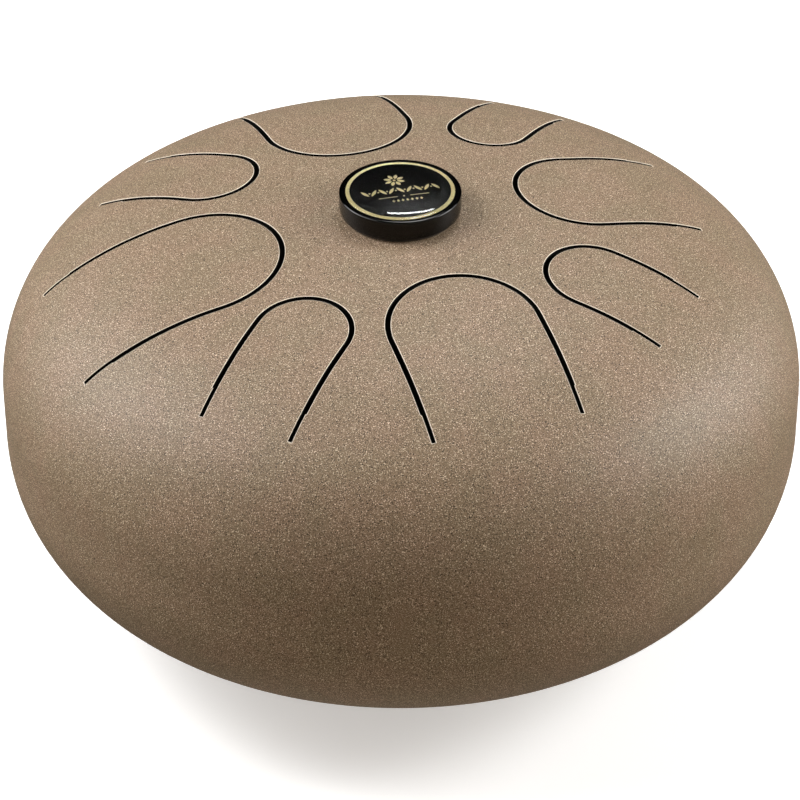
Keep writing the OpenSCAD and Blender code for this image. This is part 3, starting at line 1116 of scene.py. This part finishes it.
def make_backdrop():
    """A white ball round everything that only the camera sees, so that it lights nothing."""
    white, glow = node_material("backdrop", (0, 0, 0), 1.0)
    glow.inputs["Specular IOR Level"].default_value = 0
    glow.inputs["Emission Color"].default_value = (1, 1, 1, 1)
    glow.inputs["Emission Strength"].default_value = 1.0
    ball = bmesh.new()
    bmesh.ops.create_icosphere(ball, subdivisions=4, radius=BACKDROP_R)
    mesh = bpy.data.meshes.new("backdrop")
    ball.to_mesh(mesh)
    ball.free()
    mesh.materials.append(white)
    backdrop = bpy.data.objects.new("backdrop", mesh)
    bpy.context.scene.collection.objects.link(backdrop)
    backdrop.visible_diffuse = False
    backdrop.visible_glossy = False
    backdrop.visible_transmission = False
    backdrop.visible_shadow = False
    return backdrop


def soft_box(name, place, width, height, power):
    """An area light that faces the drum."""
    light = bpy.data.lights.new(name, "AREA")
    light.shape = "RECTANGLE"
    light.size = width
    light.size_y = height
    light.energy = power
    obj = bpy.data.objects.new(name, light)
    obj.location = place
    obj.rotation_euler = (Vector(LIGHT_AIM) - Vector(place)).to_track_quat("-Z", "Y").to_euler()
    bpy.context.scene.collection.objects.link(obj)


def studio_world():
    """A white room: bright low down on the camera's side, dark behind the drum."""
    world = bpy.data.worlds.new("studio")
    bpy.context.scene.world = world
    world.use_nodes = True
    tree = world.node_tree
    place = tree.nodes.new("ShaderNodeTexCoord")
    split = tree.nodes.new("ShaderNodeSeparateXYZ")
    tree.links.new(place.outputs["Generated"], split.inputs[0])
    halves = []
    for stops in (FRONT_WORLD, BACK_WORLD):
        height = tree.nodes.new("ShaderNodeMapRange")
        height.inputs["From Min"].default_value = -1
        tree.links.new(split.outputs["Z"], height.inputs["Value"])
        curve = tree.nodes.new("ShaderNodeValToRGB")
        tree.links.new(height.outputs["Result"], curve.inputs["Fac"])
        tones = [((rise + 1) / 2, (strength / WORLD_STRENGTH,) * 3) for rise, strength in stops]
        set_ramp(curve.color_ramp, tones)
        halves.append(curve.outputs["Color"])
    side = tree.nodes.new("ShaderNodeMapRange")
    side.inputs["From Min"].default_value = -WORLD_BLEND
    side.inputs["From Max"].default_value = WORLD_BLEND
    tree.links.new(split.outputs["Y"], side.inputs["Value"])
    mix = tree.nodes.new("ShaderNodeMix")
    mix.data_type = "RGBA"
    tree.links.new(side.outputs["Result"], mix.inputs["Factor"])
    tree.links.new(halves[0], mix.inputs["A"])
    tree.links.new(halves[1], mix.inputs["B"])
    tint = tree.nodes.new("ShaderNodeMix")
    tint.data_type = "RGBA"
    tint.blend_type = "MULTIPLY"
    tint.inputs["Factor"].default_value = 1.0
    tint.inputs["B"].default_value = (*ROOM_TINT, 1)
    tree.links.new(mix.outputs["Result"], tint.inputs["A"])
    tree.links.new(tint.outputs["Result"], tree.nodes["Background"].inputs["Color"])
    tree.nodes["Background"].inputs["Strength"].default_value = WORLD_STRENGTH


def lighting():
    studio_world()
    soft_box("left_high", (-1.0, 0, 1.5), 0.8, 0.8, 12)
    soft_box("right", (1.4, 0, 0.9), 0.8, 0.8, 21)
    soft_box("left", (-1.4, 0, 0.9), 0.8, 0.8, 6)
    soft_box("left_behind", (-1.25, 0.4, 1.1), 0.8, 0.8, 14.5)
    soft_box("left_low", (-1.5, 0.35, 0.45), 0.8, 0.8, 4.6)
    soft_box("right_low", (1.5, 0.35, 0.45), 0.8, 0.8, 7.5)
    soft_box("top_behind", (0.25, 0.7, 1.55), 0.4, 0.4, 8)
    soft_box("strip", (0.05, 1.066, 1.142), 0.19, 0.04, 0.45)


def camera():
    """A long lens, 35 degrees above the horizon, on the player's side."""
    elevation = math.radians(CAMERA_RISE)
    roll = Matrix.Rotation(math.radians(CAMERA_ROLL), 3, "Z")
    aim = Vector((CAMERA_SHIFT_X, 0, SEAM_Z - CAMERA_DROP))
    data = bpy.data.cameras.new("camera")
    data.lens = CAMERA_LENS
    data.sensor_width = CAMERA_SENSOR
    data.clip_start, data.clip_end = 0.05, 50
    obj = bpy.data.objects.new("camera", data)
    back = Vector((0, -math.cos(elevation), math.sin(elevation)))
    obj.location = aim + back * CAMERA_DISTANCE
    obj.rotation_euler = ((-back).to_track_quat("-Z", "Y").to_matrix() @ roll).to_euler()
    bpy.context.scene.collection.objects.link(obj)
    bpy.context.scene.camera = obj


floor, backdrop = make_floor(), make_backdrop()
lighting()
camera()
bpy.context.scene.view_settings.view_transform = "Standard"
